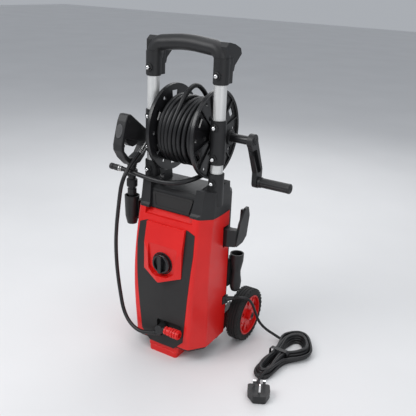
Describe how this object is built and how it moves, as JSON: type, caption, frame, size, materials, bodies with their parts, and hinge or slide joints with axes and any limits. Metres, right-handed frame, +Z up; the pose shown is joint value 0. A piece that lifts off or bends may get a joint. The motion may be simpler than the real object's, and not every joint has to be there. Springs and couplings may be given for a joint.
{
  "type": "pressure washer",
  "caption": "Upright electric pressure washer with hose reel and crank, trigger gun, two wheels, push handle and mains lead with plug.",
  "frame": {"origin": "centre of the footprint of the machine without its cords, on the floor", "axes": "+Z up, -Y the front with the ports and switch, +X the side with the crank"},
  "size_m": [0.4942, 0.3165, 0.76],
  "materials": {
    "red_plastic": "semi-gloss moulded plastic",
    "black_plastic": "fine-textured moulded plastic",
    "dark_panel": "smooth satin plastic",
    "button_chrome": "polished plating",
    "grey_plastic": "satin",
    "frame_tube": "satin anodised",
    "steel": "plated",
    "pump_aluminium": "die cast",
    "tyre_rubber": "matt",
    "hose_rubber": "satin",
    "cord_pvc": "satin PVC",
    "plug_brass": "polished"
  },
  "bodies": {
    "root": {"base_tray": "black_plastic", "cable_gland": "black_plastic", "cord_hook_left": "black_plastic", "cord_hook_right": "black_plastic", "cover_screws": "steel", "front_cover": "red_plastic", "front_fascia": "red_plastic", "front_foot": "red_plastic", "front_panel": "dark_panel", "gun_holster": "black_plastic", "handle_grip": "black_plastic", "hose_tail": "hose_rubber", "inlet_coupling": "red_plastic", "lance_holder": "black_plastic", "lead_hose": "hose_rubber", "mains_hank": "cord_pvc", "mains_lead": "cord_pvc", "mains_plug": "black_plastic", "motor_housing": "pump_aluminium", "plug_pins": "plug_brass", "port_manifold": "black_plastic", "pump_crankcase": "pump_aluminium", "pump_head": "pump_aluminium", "rear_cover": "black_plastic", "reel_bracket_left": "black_plastic", "reel_bracket_right": "black_plastic", "reel_swivel": "steel", "switch_box": "black_plastic", "tail_fitting": "black_plastic", "top_cover": "black_plastic", "top_plate": "black_plastic", "tube_left": "frame_tube", "tube_right": "frame_tube", "wheel_axle": "steel"},
    "wheel_left": {"tyre_left": "tyre_rubber", "wheel_rim_left": "red_plastic"},
    "wheel_right": {"tyre_right": "tyre_rubber", "wheel_rim_right": "red_plastic"},
    "reel": {"reel_flange_left": "black_plastic", "reel_flange_right": "black_plastic", "reel_drum": "black_plastic", "reel_axle": "black_plastic", "hose_coil": "hose_rubber", "crank_arm": "black_plastic"},
    "crank_handle": {"crank_grip": "black_plastic"},
    "gun": {"gun_shell": "black_plastic", "gun_barrel": "black_plastic"},
    "trigger": {"gun_trigger": "black_plastic"},
    "lock_button": {"gun_lock": "grey_plastic"},
    "switch": {"switch_knob": "black_plastic"},
    "rotor": {"rotor_shaft": "steel", "cooling_fan": "black_plastic"},
    "snap_button_body_left": {"snap_button_body_left": "button_chrome"},
    "snap_button_reel_low_left": {"snap_button_reel_low_left": "button_chrome"},
    "snap_button_reel_high_left": {"snap_button_reel_high_left": "button_chrome"},
    "snap_button_handle_left": {"snap_button_handle_left": "button_chrome"},
    "snap_button_body_right": {"snap_button_body_right": "button_chrome"},
    "snap_button_reel_low_right": {"snap_button_reel_low_right": "button_chrome"},
    "snap_button_reel_high_right": {"snap_button_reel_high_right": "button_chrome"},
    "snap_button_handle_right": {"snap_button_handle_right": "button_chrome"}
  },
  "joints": [
    {"name": "wheel_left_spin", "type": "hinge", "parent": "root", "child": "wheel_left", "pos_m": [-0.171, 0.0705, 0.069], "axis": [1, 0, 0], "continuous": true},
    {"name": "wheel_right_spin", "type": "hinge", "parent": "root", "child": "wheel_right", "pos_m": [0.083, 0.0705, 0.069], "axis": [1, 0, 0], "continuous": true},
    {"name": "reel_spin", "type": "hinge", "parent": "root", "child": "reel", "pos_m": [-0.044, -0.0008, 0.5437], "axis": [1, 0, 0], "continuous": true},
    {"name": "crank_grip_spin", "type": "hinge", "parent": "reel", "child": "crank_handle", "pos_m": [0.152, 0.0338, 0.4417], "axis": [1, 0, 0], "continuous": true},
    {"name": "rotor_spin", "type": "hinge", "parent": "root", "child": "rotor", "pos_m": [-0.044, -0.0255, 0.25], "axis": [0, 0, 1], "continuous": true},
    {"name": "switch_turn", "type": "hinge", "parent": "root", "child": "switch", "pos_m": [-0.044, -0.1165, 0.2505], "axis": [0, 1, 0], "range_deg": [0, 90]},
    {"name": "gun_lift", "type": "slide", "parent": "root", "child": "gun", "axis": [0, 0, 1], "range_m": [0, 0.16]},
    {"name": "trigger_squeeze", "type": "hinge", "parent": "gun", "child": "trigger", "pos_m": [-0.1745, -0.0525, 0.5115], "axis": [-1, 0, 0], "range_deg": [0, 12], "stiffness_Nm_per_rad": 2, "springref_deg": -2.86},
    {"name": "lock_press", "type": "slide", "parent": "gun", "child": "lock_button", "axis": [0, 0.9564, -0.2921], "range_m": [0, 0.0035], "stiffness_N_per_m": 300},
    {"name": "snap_button_body_left_press", "type": "slide", "parent": "root", "child": "snap_button_body_left", "axis": [0, 1, 0], "range_m": [0, 0.006], "stiffness_N_per_m": 400},
    {"name": "snap_button_reel_low_left_press", "type": "slide", "parent": "root", "child": "snap_button_reel_low_left", "axis": [0, 1, 0], "range_m": [0, 0.006], "stiffness_N_per_m": 400},
    {"name": "snap_button_reel_high_left_press", "type": "slide", "parent": "root", "child": "snap_button_reel_high_left", "axis": [0, 1, 0], "range_m": [0, 0.006], "stiffness_N_per_m": 400},
    {"name": "snap_button_handle_left_press", "type": "slide", "parent": "root", "child": "snap_button_handle_left", "axis": [0, 1, 0], "range_m": [0, 0.006], "stiffness_N_per_m": 400},
    {"name": "snap_button_body_right_press", "type": "slide", "parent": "root", "child": "snap_button_body_right", "axis": [0, 1, 0], "range_m": [0, 0.006], "stiffness_N_per_m": 400},
    {"name": "snap_button_reel_low_right_press", "type": "slide", "parent": "root", "child": "snap_button_reel_low_right", "axis": [0, 1, 0], "range_m": [0, 0.006], "stiffness_N_per_m": 400},
    {"name": "snap_button_reel_high_right_press", "type": "slide", "parent": "root", "child": "snap_button_reel_high_right", "axis": [0, 1, 0], "range_m": [0, 0.006], "stiffness_N_per_m": 400},
    {"name": "snap_button_handle_right_press", "type": "slide", "parent": "root", "child": "snap_button_handle_right", "axis": [0, 1, 0], "range_m": [0, 0.006], "stiffness_N_per_m": 400}
  ]
}
